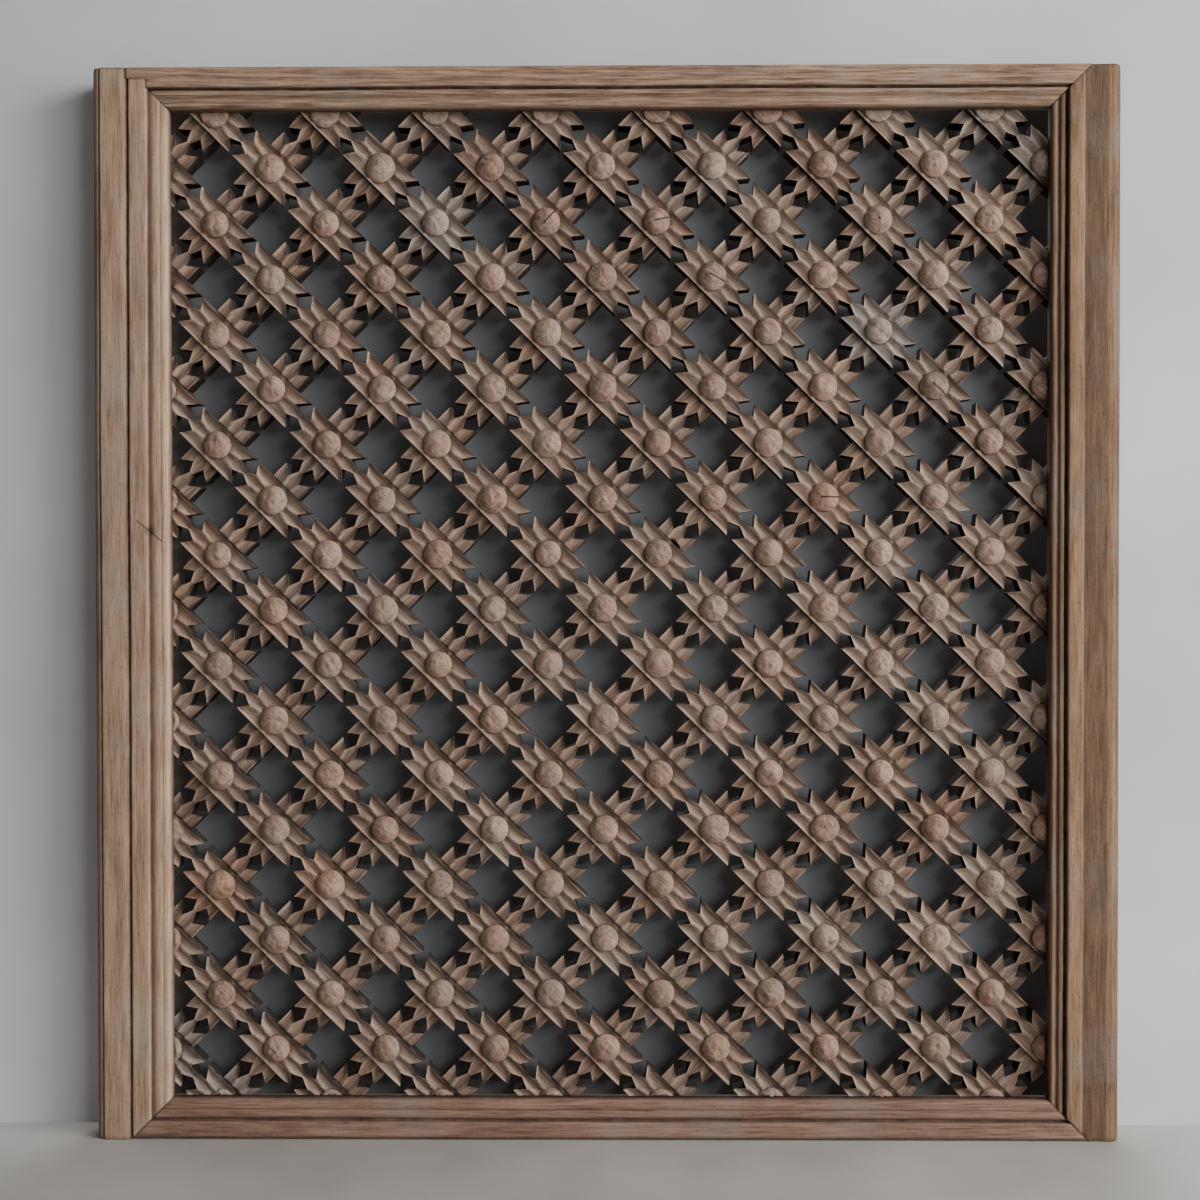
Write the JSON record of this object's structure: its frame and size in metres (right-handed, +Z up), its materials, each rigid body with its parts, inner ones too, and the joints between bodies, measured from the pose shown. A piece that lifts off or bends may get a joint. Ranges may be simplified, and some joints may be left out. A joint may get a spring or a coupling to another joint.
{
  "type": "carved lattice window screen",
  "caption": "Wooden window screen: a moulded rectangular frame holding a diagonal slat lattice, pierced and carved into petalled flowers with round bosses.",
  "frame": {"origin": "middle of the underside of the bottom rail, halfway through the frame's depth", "axes": "+Z up, +X to the right as seen from the carved front, -Y out of the carved front"},
  "size_m": [0.955, 0.042, 1],
  "materials": {
    "frame_wood": "bare weathered softwood, matt",
    "front_slat_wood": "bare weathered carved softwood, matt",
    "back_slat_wood": "bare weathered carved softwood, matt"
  },
  "bodies": {
    "root": {"left_stile": "frame_wood", "right_stile": "frame_wood", "top_rail": "frame_wood", "bottom_rail": "frame_wood", "front_slat_middle": "front_slat_wood", "front_slat_upper_1": "front_slat_wood", "front_slat_upper_2": "front_slat_wood", "front_slat_upper_3": "front_slat_wood", "front_slat_upper_4": "front_slat_wood", "front_slat_upper_5": "front_slat_wood", "front_slat_upper_6": "front_slat_wood", "front_slat_upper_7": "front_slat_wood", "front_slat_upper_8": "front_slat_wood", "front_slat_lower_1": "front_slat_wood", "front_slat_lower_2": "front_slat_wood", "front_slat_lower_3": "front_slat_wood", "front_slat_lower_4": "front_slat_wood", "front_slat_lower_5": "front_slat_wood", "front_slat_lower_6": "front_slat_wood", "front_slat_lower_7": "front_slat_wood", "front_slat_lower_8": "front_slat_wood", "back_slat_middle": "back_slat_wood", "back_slat_upper_1": "back_slat_wood", "back_slat_upper_2": "back_slat_wood", "back_slat_upper_3": "back_slat_wood", "back_slat_upper_4": "back_slat_wood", "back_slat_upper_5": "back_slat_wood", "back_slat_upper_6": "back_slat_wood", "back_slat_upper_7": "back_slat_wood", "back_slat_upper_8": "back_slat_wood", "back_slat_lower_1": "back_slat_wood", "back_slat_lower_2": "back_slat_wood", "back_slat_lower_3": "back_slat_wood", "back_slat_lower_4": "back_slat_wood", "back_slat_lower_5": "back_slat_wood", "back_slat_lower_6": "back_slat_wood", "back_slat_lower_7": "back_slat_wood", "back_slat_lower_8": "back_slat_wood"}
  },
  "joints": []
}
